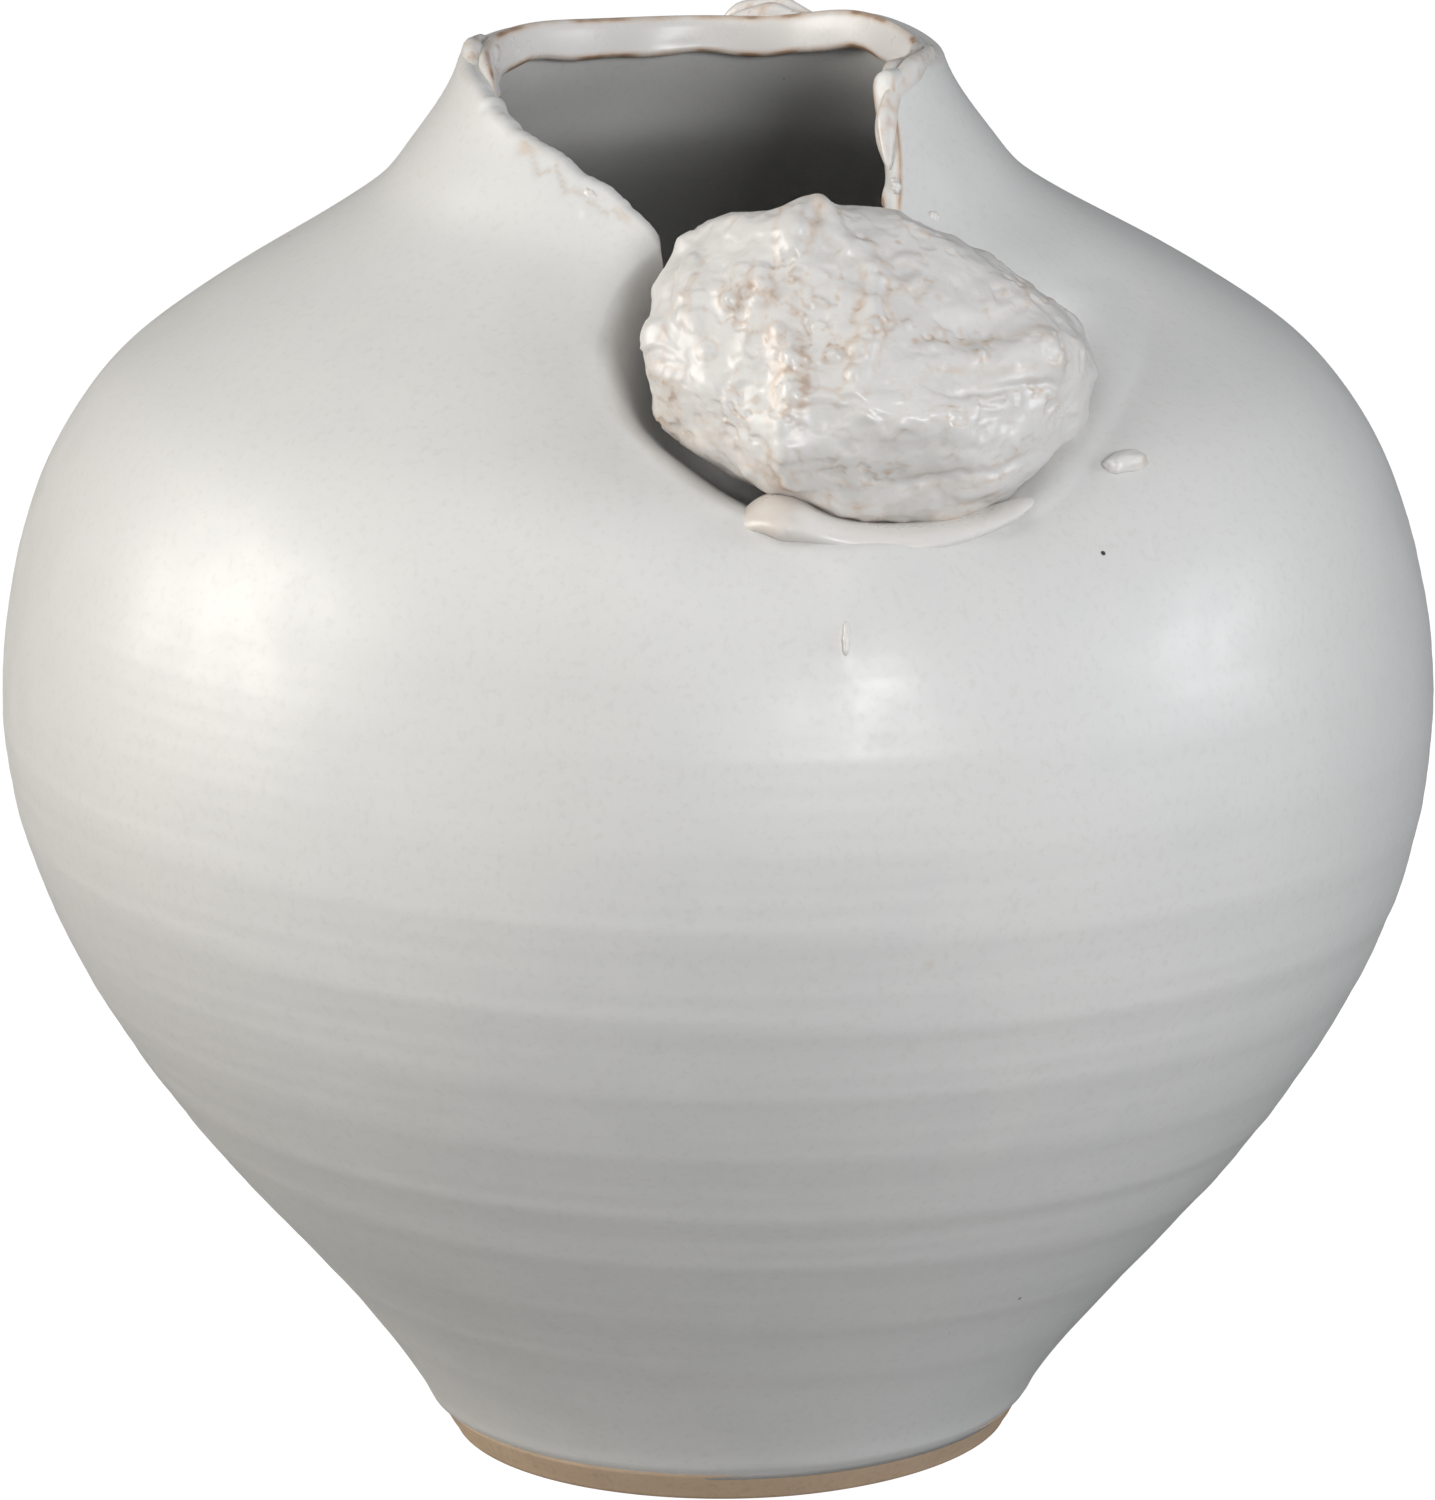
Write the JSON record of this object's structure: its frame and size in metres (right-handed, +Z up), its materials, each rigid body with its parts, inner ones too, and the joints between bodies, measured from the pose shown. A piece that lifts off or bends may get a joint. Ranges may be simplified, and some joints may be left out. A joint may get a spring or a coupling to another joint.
{
  "type": "thrown ceramic jar",
  "caption": "Broad-shouldered ceramic jar on a small foot, with a short neck torn open in front and a stone pressed into the shoulder.",
  "frame": {"origin": "middle of the foot, on the ground", "axes": "+Z up, -Y towards the torn front with the stone, +X to the right seen from the front"},
  "size_m": [0.286, 0.286, 0.2855],
  "materials": {
    "satin_glaze": "satin white glaze",
    "gloss_glaze": "glossy white glaze with beige edges",
    "stone_glaze": "glossy white glaze over rough stone",
    "bare_clay": "unglazed stoneware",
    "slip": "fired joining slip"
  },
  "bodies": {
    "root": {"foot_ring": "bare_clay", "foot_slip": "slip", "belly_slip": "slip", "neck_slip": "slip", "lower_bowl": "satin_glaze", "upper_bowl": "satin_glaze", "neck_collar": "satin_glaze", "lip_band": "gloss_glaze", "rim_fold_left": "gloss_glaze", "rim_fold_right": "gloss_glaze", "rim_petal": "gloss_glaze", "stone_bed": "gloss_glaze", "clay_crumb": "gloss_glaze", "stone": "stone_glaze"}
  },
  "joints": []
}
